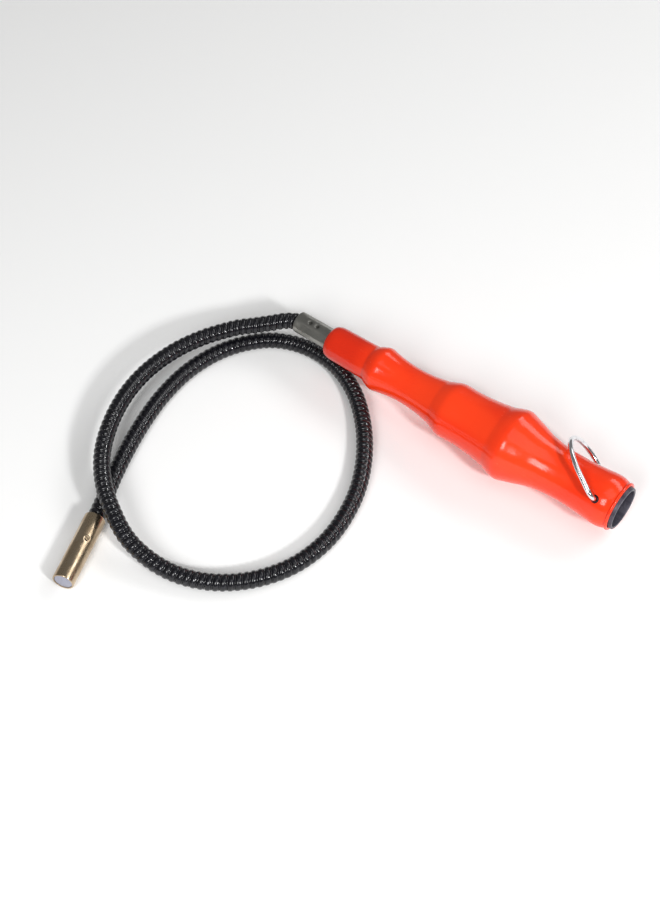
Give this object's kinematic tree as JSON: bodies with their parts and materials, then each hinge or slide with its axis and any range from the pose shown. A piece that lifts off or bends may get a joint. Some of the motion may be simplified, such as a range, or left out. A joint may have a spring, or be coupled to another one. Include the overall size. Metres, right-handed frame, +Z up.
{
  "type": "magnetic pickup tool",
  "caption": "Flexible magnetic pickup tool, coiled: knuckled plastic grip, crimped collar, bendable wound shaft, round magnet head and a swinging wire hanging loop.",
  "frame": {"origin": "centre of the footprint, on the surface that the coiled tool lies on", "axes": "+X along the handle from its front end to its butt, +Z up"},
  "size_m": [0.1748, 0.1512, 0.0287],
  "materials": {
    "grip_plastic": "glossy moulded",
    "core_steel": "satin dark coating",
    "collar_steel": "satin, crimped",
    "black_winding": "glossy black oxide on ribbed wire",
    "coil_steel": "drawn wire",
    "housing_brass": "satin, faint drawing lines",
    "magnet_nickel": "dull nickel plate",
    "loop_chrome": "bright plated wire"
  },
  "bodies": {
    "handle": {"grip": "grip_plastic", "core_tube": "core_steel", "collar": "collar_steel", "shaft_root": "black_winding", "inner_coil_root": "coil_steel"},
    "shaft_loop": {"shaft_loop": "black_winding", "inner_coil_loop": "coil_steel"},
    "magnet_head": {"shaft_tip": "black_winding", "inner_coil_tip": "coil_steel", "magnet_housing": "housing_brass", "magnet": "magnet_nickel"},
    "hanging_loop": {"hanging_loop": "loop_chrome"}
  },
  "joints": [
    {"name": "shaft_root_bend", "type": "hinge", "parent": "handle", "child": "shaft_loop", "pos_m": [-0.0626, 0.0548, 0.0119], "axis": [0, 0, 1], "range_deg": [-40, 5], "deforming": ["shaft_root", "inner_coil_root"]},
    {"name": "shaft_tip_bend", "type": "hinge", "parent": "shaft_loop", "child": "magnet_head", "pos_m": [-0.0613, -0.0396, 0.0034], "axis": [0, 0, 1], "range_deg": [-60, 5], "deforming": ["shaft_tip", "inner_coil_tip"]},
    {"name": "hanging_loop_swing", "type": "hinge", "parent": "handle", "child": "hanging_loop", "pos_m": [0.0792, 0.0604, 0.0136], "axis": [0, 0.7314, -0.682], "range_deg": [-6, 290]}
  ]
}
